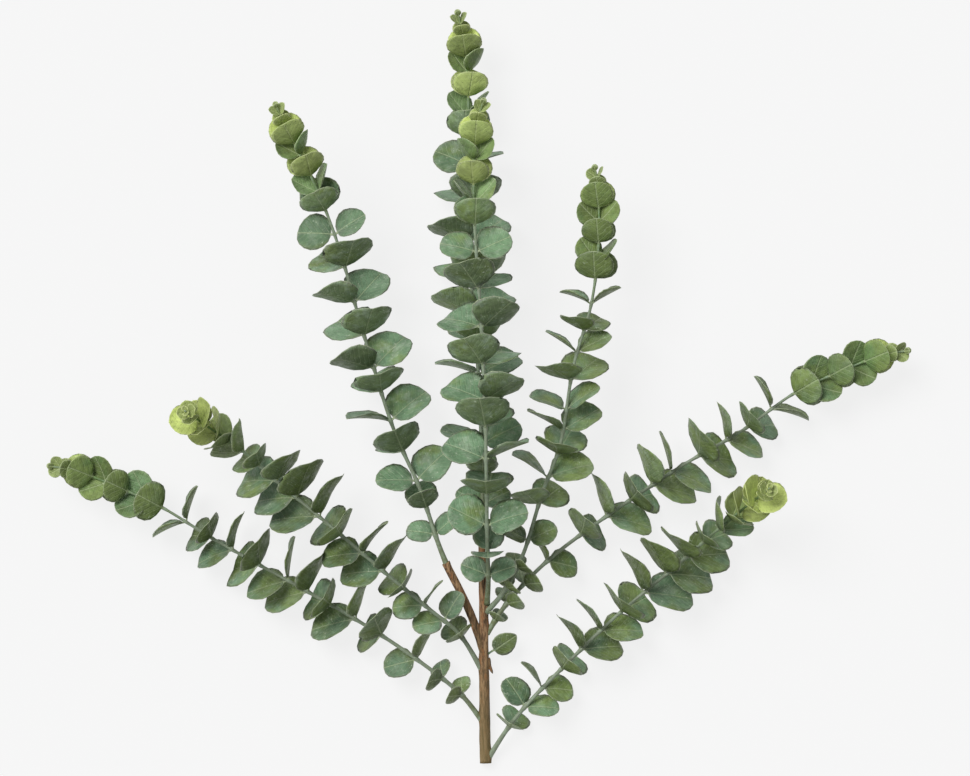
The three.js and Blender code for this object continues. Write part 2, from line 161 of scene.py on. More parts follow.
TRUNK_ROUTE = [
    (0.4, 0, 4.6), (0, 20, 5.4), (-0.4, 50, 8.8), (-0.9, 90, 14), (-1.2, 130, 20),
    (-1.7, 165, 25.4), (-1.7, 181, 28),
]
TRUNK_RADII = [4.5, 4.3, 4.1, 3.9, 3.7, 3.5, 3.3, 3.2]
TWIG_ROUTE = [(-0.9, 88, 14), (-7, 108, 17), (-17, 132, 20.5), (-31.5, 160.5, 25.6)]
TWIG_RADII = [3.2, 3.2, 3.1, 3.0, 2.9]
SPUR_ROUTE = [(1.6, 84, 13), (3.6, 78, 12.4), (6.2, 71.8, 11.3)]
TRUNK_LEAF_ROUTE = [(1.6, 87, 13.9), (5, 89.5, 14.4), (9, 92, 15)]
TRUNK_LEAF = {
    "root_along": 4.5, "facing": (0.1, -0.25, 1), "length": 24, "width": 19, "cup": 0.15, "bend": -0.2,
}
TRUNK_LEAF_STALK = {"radii": (1.0, 0.5), "rings": 8, "clear_of_lines": 5.0}

# A blade is this share of the solid leaf's length, and its outline begins where its short stalk ends.
VISIBLE_LENGTH = 0.98
STALK_SHARE = 0.09
STALK_RADIUS = 0.9
STALK_RADII_IN_WIDTH = 5
STALK_FADE = 0.16

# The outline is an egg, and the powers under 1 make the rings round a blade boxy, so that its rim is crisp.
EGG_SKEW = 0.9
EGG_FULLNESS = 2.15
RING_POWER_ACROSS = 0.6
RING_POWER_ABOVE = 0.5
EDGE_WAVES = 1.3
EDGE_WAVE_SHIFT = 0.37

# Where a leafy stem leaves the wood, a collar swells the bark a little way along it, apart from the last
# rings of a bar.
COLLAR = {"height": 0.9, "ahead": 5, "reach": 6, "spread": 0.35, "end_rings": 4}
TWIG_FROM_CUT_END = 60

# The bark turns in at the cut end: its first two rings lie this far along the trunk, and the ridges fade.
CUT_RIM = {"along": (0.7, 0.05), "narrowing": 0.8, "faded_rings": 3, "fading": 0.5}

# The cut face's rings by their distance along the trunk and their share of its radius, rim to pith.
CUT_FACE = {"along": (1.4, 0.5, 0.25, 0.12, 0.1), "share": (1.0, 0.97, 0.8, 0.4, 0.08), "inset": 0.55}

# The bark flake is an oval bar, flatter from top to bottom, with a slight ripple along it.
SPUR = {
    "radius": 2.3, "point_radius": 0.15, "narrowing": 0.6, "flatness": 0.3,
    "ripple": 0.12, "ripple_pace": 9, "relief": -0.1, "from_cut_end": 80.0,
}
TRUNK_SIDES = 30
TWIG_SIDES = 24
SPUR_SIDES = 12
STEM_SIDES = 10

# A green stem swells over this length at each pair, flares where it leaves the wood, and has a slight
# ripple round it.
NODE_REACH = 2.2
FLARE_HEIGHT = 0.5
FLARE_REACH = 7
STEM_RIPPLE = {"height": 0.05, "sides": 3, "twist": 0.08}

# The table is lit from below too, as a light table is, so that the shadows on it stay faint.
TABLE_GLOW = 0.818
TABLE_HALF_WIDTH = 60.0
TABLE_HEIGHT = -0.4 * MM
ROOM_COLOUR = (0.98, 0.99, 1.0, 1.0)
ROOM_STRENGTH = 0.42
KEY_STRENGTH = 2.65
KEY_SPREAD = 36
KEY_DIRECTION = (0.55, -0.5, -1.0)

# The photograph's frame, the row in it where the cut end stands, and the size of a pixel at the table.
FRAME_PIXELS = (970, 776)
CUT_END_ROW = 763
PIXEL_SIZE = 0.8 * MM
CAMERA_HEIGHT = 8.0
SENSOR_WIDTH = 36.0


def linear(code):
    """A hex colour code as Blender's linear red, green, blue and alpha."""
    share = np.array([(code >> shift) & 255 for shift in (16, 8, 0)]) / 255
    curve = np.where(share <= 0.04045, share / 12.92, ((share + 0.055) / 1.055) ** 2.4)
    return (*curve.tolist(), 1.0)


def unit(vectors):
    """Vectors scaled to length one."""
    return vectors / np.linalg.norm(vectors, axis=-1, keepdims=True)


def route_of(points):
    """A route through points as even steps of its parameter, with the frame carried along it.

    The curve is Catmull-Rom: between two points it is the cubic whose slope at each point is half the
    step from the point before to the point after. From each step to the next, top loses only its part
    along the tangent, so it turns as little as possible from upright.
    """
    knots = np.array(points, float)
    ends = 2 * knots[[0, -1]] - knots[[1, -2]]
    knots = np.vstack([ends[:1], knots, ends[1:]])
    place = np.linspace(0, len(points) - 1, ROUTE_STEPS + 1)
    span = np.minimum(place.astype(int), len(points) - 2)
    share = (place - span)[:, None]
    before, start, end, after = (knots[span + shift] for shift in range(4))
    leave, arrive = (end - before) / 2, (after - start) / 2
    spots = (
        start + leave * share
        + (3 * (end - start) - 2 * leave - arrive) * share**2
        + (2 * (start - end) + leave + arrive) * share**3
    )
    steps = np.linalg.norm(np.diff(spots, axis=0), axis=1)
    ahead = np.vstack([spots[1:], spots[-1:]])
    behind = np.vstack([spots[:1], spots[:-1]])
    tangent = unit(ahead - behind)
    tops = []
    top = np.array([0.0, 0.0, 1.0])
    for direction in tangent:
        top = top - direction * (top @ direction)
        top = top / np.linalg.norm(top)
        tops.append(top)
    along = np.concatenate([[0], np.cumsum(steps)])
    return {"along": along, "spot": spots, "tangent": tangent, "top": np.array(tops)}


def frames_at(route, along):
    """Place, tangent, top and side of a route at distances along it, evenly mixed between its steps.

    Side is the cross product of tangent and top.
    """
    def mixed(key):
        columns = [np.interp(along, route["along"], column) for column in route[key].T]
        return np.stack(columns, axis=-1)

    tangent = unit(mixed("tangent"))
    top = mixed("top")
    top = unit(top - tangent * (top * tangent).sum(-1, keepdims=True))
    return mixed("spot"), tangent, top, np.cross(tangent, top)


def scatter(number):
    """A share between 0 and 1, the same each time: the fraction of sin(12.9898 n) times 43758.5453."""
    wave = np.sin(number * 12.9898) * 43758.5453
    return wave - np.floor(wave)


def wander(key, seed):
    """How far a leaf strays in one respect: the spread times a share between -0.5 and 0.5."""
    return SPREAD[key] * (scatter(seed) - 0.5)


def age_of(index):
    """Which entry of a posture's lists a pair takes: young, at the bare gap, old or lowest."""
    return 3 if index >= LOWEST_PAIRS else int(np.sign(index - BARE_GAP_PAIR)) + 1


def leaves_of(stem_index, route, indices):
    """The leaves of a stem's pairs as dictionaries of place, direction and size.

    A leaf stands out of the stem at its azimuth and leans from it by its lean, so its direction is
    tangent cos(lean) + out sin(lean). Its upper face looks back at the stem, along tangent sin(lean)
    - out cos(lean), turned towards the sky on leaves beside and below the stem and away from it on
    those above. A leaf that would reach far under the table leans less.
    """
    _, posture_name, mirrored, _, _ = STEMS[stem_index]
    posture = POSTURES[posture_name]
    total = route["along"][-1]
    growth = total / GROWTH_LENGTH
    pairs = YOUNG_PAIRS + posture["old_pairs"]
    green = [0] * len(posture["old_pairs"])
    for index in indices:
        at, pair_length, pair_width = pairs[index]
        spot, tangent, top, side = frames_at(route, np.array(total - at * growth))
        age = age_of(index)
        for which in (0, 1):
            seed = stem_index * 100 + index * 2 + which + 1
            azimuth = posture["azimuths"][index] + 180 * which + wander("azimuth", seed + 0.3)
            sway = posture["swing"] * np.cos(np.radians(azimuth)) if age > 0 else 0
            phi = np.radians(180 - azimuth if mirrored else azimuth)
            out = side * np.cos(phi) + top * np.sin(phi)
            closer = posture["nod"][age] * out[2] if out[2] > 0 else -posture["tuck"][age] * out[2]
            lean = np.radians(posture["lean"][age] - closer - sway + wander("lean", seed + 0.7))
            room = spot[2] + PRESS_DEPTH
            if -out[2] * np.sin(lean) * pair_length > room:
                lean = np.arcsin(min(1, room / (-out[2] * pair_length)))
            direction = tangent * np.cos(lean) + out * np.sin(lean)
            normal = tangent * np.sin(lean) - out * np.cos(lean)
            turn = LIGHT_TURN["level"] - LIGHT_TURN["rise"] * out[2]
            normal[2] += posture["light"][age] * np.clip(turn, LIGHT_TURN["least"], LIGHT_TURN["most"])
            normal = unit(normal - direction * (normal @ direction))
            size = min(1, growth) + wander("size", seed + 0.5) + (posture["plump"] if age == 0 else 0)
            yield {
                "root": spot, "direction": direction, "normal": normal,
                "length": pair_length * size * VISIBLE_LENGTH, "width": pair_width * size,
                "cup": posture["cup"][age],
                "bend": BEND["young"] if age == 0 else BEND["old"] + wander("bend", seed + 0.9),
                "seed": seed, "bud": index < BUD_PAIRS,
                "age": np.clip((at - TURNING["start"]) / TURNING["length"], 0, 1),
                "youth": (posture["bright"] + green)[index],
                "youth_under": (posture["pale"] + green)[index],
                "taper": 0, "tone": scatter(seed + 0.71),
                "warmth": posture["warm"] + wander("warmth", seed + 0.37),
            }


def blade(leaf, sizes):
    """One leaf as a closed tube of flattened rings.

    The share s runs from the root to the point. The middle line turns evenly by bend, so it lies
    L sin(bend s) / bend along the leaf's direction and L (1 - cos(bend s)) / bend along its normal.
    With t the share of the blade past its stalk, half the width is W / 2 times (1 - taper t^3) times
    the root of 1 - |2 t^skew - 1|^fullness, an egg shape, and never less than the stalk's in the first
    half. The point itself is half as thick as the blade, and as wide as it is thick. Round a ring by the
    angle a, a place lies u of half the width to the side and v of half the
    thickness above the sheet, where u and v are cos(a) and sin(a) with their sizes raised to the ring
    powers. The sheet is folded at the midrib and cupped, and its edge waves: it rises by half the width
    times cup (fold |u| + (1 - fold) u^2) + wave |u|^3 sin(2 pi (waves s + phase)). Where it would sink
    into the table, it is pressed flat on it.
    """
    steps = (1 - np.cos(np.pi * np.arange(1, sizes.blade_rows + 1) / sizes.blade_rows)) / 2
    share = np.concatenate([[0, STALK_SHARE / 2], STALK_SHARE + (1 - STALK_SHARE) * np.append(0, steps)])
    along_blade = np.clip((share - STALK_SHARE) / (1 - STALK_SHARE), 0, 1)
    outline = np.sqrt(np.maximum(0, 1 - np.abs(2 * along_blade**EGG_SKEW - 1) ** EGG_FULLNESS))
    outline *= 1 - leaf["taper"] * along_blade**3
    stalk = min(STALK_RADIUS, leaf["width"] / STALK_RADII_IN_WIDTH)
    half = leaf["width"] / 2 * outline
    half = np.where(share <= 0.5, np.maximum(stalk, half), half)
    full = sizes.blade_thickness / MM
    half[-1] = full / 4
    thickness = np.interp(share, [0, STALK_FADE, 1], [2 * stalk, full, full / 2])
    turn = leaf["bend"] * share
    sine, cosine = np.sin(turn)[:, None], np.cos(turn)[:, None]
    reach = leaf["length"] / leaf["bend"]
    centre = leaf["root"] + leaf["direction"] * reach * sine + leaf["normal"] * reach * (1 - cosine)
    facing = leaf["normal"] * cosine - leaf["direction"] * sine
    across = np.cross(leaf["direction"], leaf["normal"])

    angle = 2 * np.pi * np.arange(sizes.blade_columns * 2) / (sizes.blade_columns * 2)
    cosine_round, sine_round = np.cos(angle).round(9), np.sin(angle).round(9)
    u = np.sign(cosine_round) * np.abs(cosine_round) ** RING_POWER_ACROSS
    above = np.sign(sine_round) * np.abs(sine_round) ** RING_POWER_ABOVE
    phase = scatter(leaf["seed"] + 0.11) + EDGE_WAVE_SHIFT * (u > 0)
    wave = sizes.edge_wave * np.abs(u) ** 3 * np.sin(2 * np.pi * (EDGE_WAVES * share[:, None] + phase))
    fold = sizes.midrib_fold
    cup = leaf["cup"] * (fold * np.abs(u) + (1 - fold) * u**2) + wave
    lift = (half[:, None] * cup)[..., None] * facing[:, None]
    sheet = centre[:, None] + (half[:, None] * u)[..., None] * across + lift
    pressed = sheet[..., 2] < BLADE_THICKNESS_IN_SOLID / 2
    sheet[..., 2] = np.maximum(sheet[..., 2], BLADE_THICKNESS_IN_SOLID / 2)
    offset = np.where(pressed[..., None], [0.0, 0.0, 1.0], facing[:, None])
    places = sheet + offset * (thickness[:, None] / 2 * above)[..., None]
    off_ends = np.minimum(along_blade, 1 - along_blade) * leaf["length"] + 2 * (share < STALK_SHARE)
    return {
        "places": places,
        "values": {
            "off_midrib": half[:, None] * u,
            "off_edge": np.minimum(half[:, None] * (1 - np.abs(u)), off_ends[:, None]),
            "along": share[:, None] * leaf["length"], "upper": np.clip(0.5 + 2 * above, 0, 1),
            "youth": leaf["youth"], "youth_under": leaf["youth_under"], "age": leaf["age"],
            "bud": float(leaf["bud"]), "tone": leaf["tone"], "warmth": leaf["warmth"],
        },
    }


def rod(route, along, radius, angles):
    """A bar round a route: at each distance and angle it stands radius from the route's line."""
    spot, _, top, side = frames_at(route, along)
    ring = np.cos(angles)[:, None] * side[:, None] + np.sin(angles)[:, None] * top[:, None]
    return spot[:, None] + radius[..., None] * ring


def skinned(name, shells, material):
    """One mesh object from closed grids: rings joined by quads, and each end ring closed round a pole."""
    places, quads, tips, values = [], [], [], {}
    count = 0
    for shell in shells:
        rings, around = shell["places"].shape[:2]
        ring, spot = np.meshgrid(np.arange(rings - 1), np.arange(around), indexing="ij")
        after = (spot + 1) % around
        quads.append(count + np.stack([
            ring * around + spot, (ring + 1) * around + spot,
            (ring + 1) * around + after, ring * around + after], axis=-1).reshape(-1, 4))
        spot, after = spot[0], after[0]
        first, last = rings * around, rings * around + 1
        final = (rings - 1) * around
        tips.append(count + np.stack([np.full_like(spot, first), spot, after], axis=-1))
        tips.append(count + np.stack([np.full_like(spot, last), final + after, final + spot], axis=-1))
        ends = shell["places"][[0, -1]].mean(axis=1)
        places += [shell["places"].reshape(-1, 3), ends]
        for key, grid in shell["values"].items():
            grid = np.broadcast_to(grid, (rings, around))
            values.setdefault(key, []).extend([grid.reshape(-1), grid[[0, -1]].mean(axis=1)])
        count += rings * around + 2
    mesh = bpy.data.meshes.new(name)
    spots = (np.concatenate(places) + CUT_END_TO_ORIGIN) * MM
    mesh.from_pydata(spots.tolist(), [], np.concatenate(quads).tolist() + np.concatenate(tips).tolist())
    mesh.polygons.foreach_set("use_smooth", np.ones(len(mesh.polygons), bool))
    for key, parts in values.items():
        layer = mesh.attributes.new(key, "FLOAT", "POINT")
        layer.data.foreach_set("value", np.concatenate(parts).astype(np.float32))
    mesh.materials.append(material)
    piece = bpy.data.objects.new(name, mesh)
    bpy.context.scene.collection.objects.link(piece)
    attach(piece, "root")
    return piece


class Finish:
    """A material being made: each call adds a node, sets its sockets and hands back its result."""

    def __init__(self, name):
        self.material = bpy.data.materials.new(name)
        self.material.use_nodes = True
        self.tree = self.material.node_tree
        self.shader = self.tree.nodes["Principled BSDF"]

    def put(self, socket, value):
        """Sets a socket to a value, or links it to another node's result."""
        if isinstance(value, bpy.types.NodeSocket):
            self.tree.links.new(value, socket)
        else:
            socket.default_value = value

    def node(self, kind, sockets, output=0, **settings):
        """A node of that kind, with sockets given by name or number."""
        made = self.tree.nodes.new(kind)
        for key, value in settings.items():
            setattr(made, key, value)
        for key, value in sockets.items():
            self.put(made.inputs[key], value)
        return made.outputs[output]

    def value(self, name):
        """A number that the mesh carries at each of its points."""
        return self.node("ShaderNodeAttribute", {}, "Fac", attribute_name=name)

    def maths(self, operation, *numbers):
        """One step of arithmetic."""
        return self.node("ShaderNodeMath", dict(enumerate(numbers)), operation=operation)

    def between(self, number, low, high, to_low=0.0, to_high=1.0):
        """A smooth step from to_low to to_high as number goes from low to high."""
        sockets = {"Value": number, "From Min": low, "From Max": high, "To Min": to_low, "To Max": to_high}
        return self.node("ShaderNodeMapRange", sockets, interpolation_type="SMOOTHSTEP")

    def noise(self, scale, detail=3.0, roughness=0.55, stretch=(1, 1, 1)):
        """Cloudy noise on the piece's own coordinates, about 1 / scale metres to a cloud."""
        place = self.node("ShaderNodeTexCoord", {}, "Object")
        place = self.node("ShaderNodeMapping", {"Vector": place, "Scale": stretch})
        sockets = {"Vector": place, "Scale": scale, "Detail": detail, "Roughness": roughness}
        return self.node("ShaderNodeTexNoise", sockets, "Fac")

    def mix(self, share, first, second, blend="MIX"):
        """Two colours mixed."""
        sockets = {0: share, 6: first, 7: second}
        return self.node("ShaderNodeMix", sockets, 2, data_type="RGBA", blend_type=blend)

    def ramp(self, number, stops):
        """Colours by number, between stops of (place, colour)."""
        made = self.tree.nodes.new("ShaderNodeValToRGB")
        self.put(made.inputs[0], number)
        elements = made.color_ramp.elements
        while len(elements) < len(stops):
            elements.new(0.5)
        for element, (place, colour) in zip(elements, stops):
            element.position, element.color = place, colour
        return made.outputs[0]

    def bump(self, height, distance, strength=1.0, under=None):
        """A surface normal from a height."""
        sockets = {"Height": height, "Distance": distance, "Strength": strength}
        if under is not None:
            sockets["Normal"] = under
        return self.node("ShaderNodeBump", sockets)


def face_colour(f, colours, young):
    """Colour of a leaf's two faces, before its lines, with the same olive patches on both.

    Grey-green above and plain green below, olive where the clouds are dense, greyish wax on old
    leaves, then the yellow of the young ones, and a duller green on the buds.
    """
    age, upper, warmth = f.value("age"), f.value("upper"), f.value("warmth")
    above = f.mix(age, colours.leaf_turning, colours.leaf_upper)
    below = f.mix(age, colours.young_under, colours.leaf_under)
    colour = f.mix(upper, below, above)
    patches = f.maths("ADD", f.noise(34, 3.0), f.maths("MULTIPLY", warmth, 0.26))
    patches = f.maths("SUBTRACT", patches, f.maths("MULTIPLY", upper, 0.04))
    colour = f.mix(f.between(patches, 0.5, 0.74, 0.0, 0.95), colour, colours.leaf_warm)
    bloom = f.between(f.noise(85, 5.0, 0.65), 0.48, 0.66, 0.0, 0.7)
    bloom = f.maths("MULTIPLY", bloom, f.between(warmth, 0.2, 0.9, 1.0, 0.35))
    colour = f.mix(f.maths("MULTIPLY", bloom, age), colour, colours.bloom)
    yellow = f.maths("MULTIPLY", young, f.between(patches, 0.4, 0.7, 1.0, 0.75))
    colour = f.mix(yellow, colour, colours.young_upper)
    return f.mix(f.maths("MULTIPLY", f.value("bud"), 0.5), colour, colours.bud)


def tone_and_painted_shade(f):
    """How light a leaf is: cloudy, unlike its neighbours, and darkened by painted shade near an old leaf's
    stalk.
    """
    shade = f.between(f.noise(130, 5.0, 0.65), 0.38, 0.62, 0.84, 1.13)
    tone = f.maths("MULTIPLY", shade, f.between(f.value("tone"), 0.0, 1.0, 0.74, 1.12))
    # Painted shade: an old leaf darkens towards its stalk, where it lies tucked behind other leaves.
    painted_stalk_shade = f.between(f.value("along"), 1.0, 15.0, 0.3, 0.0)
    painted_stalk_shade = f.maths("MULTIPLY", painted_stalk_shade, f.value("age"))
    return f.maths("MULTIPLY", tone, f.maths("SUBTRACT", 1.0, painted_stalk_shade))


def leaf_lines(f):
    """The midrib, and side veins where the sine of the distance along less 0.8 of that across is high."""
    across = f.maths("ABSOLUTE", f.value("off_midrib"))
    midrib = f.between(across, 0.3, 0.9, 1.0, 0.0)
    slant = f.maths("SUBTRACT", f.value("along"), f.maths("MULTIPLY", across, 0.8))
    wobble = f.maths("MULTIPLY", f.noise(160, 2.0), 5.0)
    veins = f.maths("SINE", f.maths("ADD", f.maths("MULTIPLY", slant, 1.35), wobble))
    return midrib, f.between(veins, 0.7, 1.0)


def leaf_finish(name, colours):
    """Waxy leaf: glaucous above, olive below, yellow-green when young, with a pale midrib and rim."""
    f = Finish(name)
    age = f.value("age")
    young = f.mix(f.value("upper"), f.value("youth_under"), f.value("youth"))
    # The tone holds the painted shade near old leaves' stalks as well as their own cloudy tone.
    tone = tone_and_painted_shade(f)
    grey = f.node("ShaderNodeCombineColor", {0: tone, 1: tone, 2: tone})
    colour = f.mix(1.0, face_colour(f, colours, young), grey, "MULTIPLY")

    ragged = f.maths("ADD", f.value("off_edge"), f.maths("MULTIPLY", f.noise(90, 2.0), 4.0))
    border = f.maths("MULTIPLY", f.between(ragged, 2.2, 4.0, 0.75, 0.0), age)
    colour = f.mix(border, colour, colours.border)

    midrib, veins = leaf_lines(f)
    lines = f.maths("MAXIMUM", f.maths("MULTIPLY", midrib, 0.36), f.maths("MULTIPLY", veins, 0.12))
    lines = f.maths("MULTIPLY", lines, f.between(young, 0.0, 1.0, 1.0, 0.4))
    rim = f.between(f.value("off_edge"), 0.3, 0.9, 0.7, 0.0)
    pale = f.mix(young, colours.vein, colours.young_rim)
    colour = f.mix(f.maths("MAXIMUM", lines, rim), colour, pale)

    scuff = f.maths("MULTIPLY", f.between(f.noise(330, 4.0, 0.75), 0.6, 0.68, 0.0, 0.6), age)
    f.put(f.shader.inputs["Base Color"], f.mix(scuff, colour, colours.scuff))
    f.put(f.shader.inputs["Roughness"], f.between(f.noise(160, 3.0), 0.35, 0.65, 0.4, 0.62))
    f.put(f.shader.inputs["Specular IOR Level"], 0.35)
    sunk = f.maths("ADD", f.maths("MULTIPLY", midrib, -0.8), f.maths("MULTIPLY", veins, -0.35))
    soft = f.bump(f.noise(120, 3.0), 2.0 * MM, 0.8, f.bump(sunk, 0.5 * MM))
    f.put(f.shader.inputs["Normal"], f.bump(f.noise(600, 2.0), 0.1 * MM, 0.6, soft))
    return f.material


def stem_finish(name, colours):
    """Smooth green stem: grey-green below, paler and yellower towards the tip, streaked lengthways."""
    f = Finish(name)
    growth = f.maths("DIVIDE", f.value("at"), 400.0)
    colour = f.ramp(growth, [
        (0.0, colours.bud), (0.1, colours.leaf_turning), (0.3, colours.stem), (0.9, colours.stem),
        (1.0, colours.stem_base)])
    streak = f.between(f.noise(260, 3.0), 0.45, 0.6, 0.0, 0.5)
    colour = f.mix(streak, colour, colours.bloom)
    freckle = f.between(f.noise(900, 2.0), 0.58, 0.66, 0.0, 0.5)
    colour = f.mix(freckle, colour, colours.stem_base)
    f.put(f.shader.inputs["Base Color"], colour)
    f.put(f.shader.inputs["Roughness"], f.between(f.noise(200, 2.0), 0.3, 0.7, 0.45, 0.65))
    f.put(f.shader.inputs["Normal"], f.bump(f.noise(700, 3.0), 0.12 * MM))
    return f.material


def bark_finish(name, colours):
    """Brown bark: fibres along the wood, orange-brown flecks, dark grooves, olive near the cut end."""
    f = Finish(name)
    fibres = f.noise(560, 5.0, 0.75, stretch=(1.0, 0.1, 1.0))
    colour = f.ramp(fibres, [(0.38, colours.bark_dark), (0.48, colours.bark), (0.58, colours.bark_pale)])
    fleck = f.between(f.noise(300, 4.0, 0.7, stretch=(1.0, 0.3, 1.0)), 0.53, 0.6, 0.0, 0.75)
    colour = f.mix(fleck, colour, colours.bark_fleck)
    grooves = f.between(f.value("relief"), -0.34, -0.08, 0.45, 0.0)
    colour = f.mix(grooves, colour, colours.bark_dark)
    olive = f.between(f.value("at"), 5.0, 110.0, 0.8, 0.1)
    colour = f.mix(olive, colour, colours.bark_olive)
    f.put(f.shader.inputs["Base Color"], colour)
    f.put(f.shader.inputs["Roughness"], f.between(fibres, 0.3, 0.7, 0.9, 0.65))
    fine = f.bump(fibres, 0.5 * MM)
    f.put(f.shader.inputs["Normal"], f.bump(f.noise(1400, 3.0), 0.12 * MM, 0.7, fine))
    return f.material


def cut_wood_finish(name, colours):
    """Pale cut wood with a few growth rings and a dark pith."""
    f = Finish(name)
    rings = f.maths("SINE", f.maths("MULTIPLY", f.value("radius"), 7.0))
    rings = f.maths("ADD", rings, f.maths("MULTIPLY", f.noise(700, 3.0), 0.8))
    colour = f.mix(f.between(rings, -0.6, 1.4), colours.cut_wood, colours.bark_pale)
    colour = f.mix(f.between(f.value("radius"), 0.3, 0.8, 0.8, 0.0), colour, colours.bark_dark)
    f.put(f.shader.inputs["Base Color"], colour)
    f.put(f.shader.inputs["Roughness"], 0.85)
    f.put(f.shader.inputs["Normal"], f.bump(f.noise(1500, 2.0), 0.1 * MM))
    return f.material


def table_finish(name, colours):
    """Plain table top, dark grey but glowing white, so that it looks pale and the shadows on it stay faint.
    """
    f = Finish(name)
    f.put(f.shader.inputs["Base Color"], colours.table)
    f.put(f.shader.inputs["Roughness"], 0.9)
    f.put(f.shader.inputs["Specular IOR Level"], 0.0)
    # Painted light: the table glows white, though it is no lamp.
    f.put(f.shader.inputs["Emission Color"], (1.0, 1.0, 1.0, 1.0))
    f.put(f.shader.inputs["Emission Strength"], TABLE_GLOW)
    return f.material


def length_property(label, words, default):
    """A length in metres for the panel."""
    return bpy.props.FloatProperty(
        name=label, description=words, default=default, min=0.0, unit="LENGTH", precision=5)


def share_property(label, words, default):
    """A share for the panel."""
    return bpy.props.FloatProperty(
        name=label, description=words, default=default, min=0.0, subtype="FACTOR")


def count_property(label, words, default, least):
    """A count for the panel."""
    return bpy.props.IntProperty(name=label, description=words, default=default, min=least)


def colour_property(label, words, code):
    """A colour for the panel, its default given as a hex code."""
    return bpy.props.FloatVectorProperty(
        name=label, description=words, default=linear(code), size=4, min=0.0, max=1.0, subtype="COLOR")


class SpraySizes(bpy.types.PropertyGroup):
    """Sizes of the fine surface that a user would change."""

    blade_thickness: length_property("Blade Thickness", "Thickness of a leaf blade", 0.7 * MM)
    blade_rows: count_property("Blade Rows", "Rows along a leaf blade", 8, 4)
    blade_columns: count_property("Blade Columns", "Columns across a leaf blade", 4, 2)
    edge_wave: share_property("Edge Wave", "Rise of the wavy edge as a share of half the width", 0.05)
    midrib_fold: share_property("Midrib Fold", "Share of a leaf's cup that is a fold at the midrib", 0.2)
    stem_step: length_property("Stem Step", "Distance between rings of a stem", 2.5 * MM)
    node_swelling: share_property("Node Swelling", "How much a stem swells at a pair of leaves", 0.35)
    bark_step: length_property("Bark Step", "Distance between rings of the wood", 1.2 * MM)
    bark_relief: length_property("Bark Relief", "Height of the ridges in the bark", 0.3 * MM)


class SprayColours(bpy.types.PropertyGroup):
    """Colours that a user would change."""

    leaf_upper: colour_property("Leaf Upper", "Upper face of an old leaf", 0x6B8969)
    leaf_under: colour_property("Leaf Under", "Underside of an old leaf", 0x73865E)
    leaf_turning: colour_property("Leaf Turning", "Upper face of a leaf between young and old", 0x6C8A52)
    leaf_warm: colour_property("Leaf Warm", "Olive patches on a leaf", 0x708248)
    young_upper: colour_property("Young Upper", "Upper face of a young leaf", 0xCAD87E)
    young_rim: colour_property("Young Rim", "Rim and veins of a young leaf", 0xE0E8A4)
    young_under: colour_property("Young Under", "Underside of a young leaf", 0x66814E)
    bud: colour_property("Bud", "The smallest leaves at the tip", 0x7C8A5C)
    bloom: colour_property("Bloom", "Greyish wax on old leaves and stems", 0x90A28A)
    border: colour_property("Border", "Greyish margin of an old leaf", 0x7C7F76)
    scuff: colour_property("Scuff", "Pale scratches on old leaves", 0xC2CEB6)
    vein: colour_property("Vein", "Midrib, side veins and rim", 0xB4C298)
    stem: colour_property("Stem", "Green stem", 0x7D8872)
    stem_base: colour_property("Stem Base", "A green stem near the wood", 0x6A7350)
    bark: colour_property("Bark", "Brown bark", 0x71533A)
    bark_dark: colour_property("Bark Dark", "Grooves in the bark", 0x3A291B)
    bark_pale: colour_property("Bark Pale", "Raised fibres of the bark", 0xA88560)
    bark_fleck: colour_property("Bark Fleck", "Orange-brown flecks in the bark", 0x96633C)
    bark_olive: colour_property("Bark Olive", "Bark near the cut end", 0x72633D)
    cut_wood: colour_property("Cut Wood", "Wood at the cut end", 0xB99A6C)
    table: colour_property("Table", "Table top", 0x585858)


def add_leaves(context, name, stem_index, indices, material, node):
    """The leaves of some pairs of one stem as one piece, in the place of that node."""
    route = route_of(STEMS[stem_index][4])
    sizes = context.scene.spray_sizes
    piece = skinned(name, [blade(leaf, sizes) for leaf in leaves_of(stem_index, route, indices)], material)
    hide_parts(node)


def finish_of(name, maker, context):
    """The material of that name, made the first time it is asked for."""
    return bpy.data.materials.get(name) or maker(name, context.scene.spray_colours)


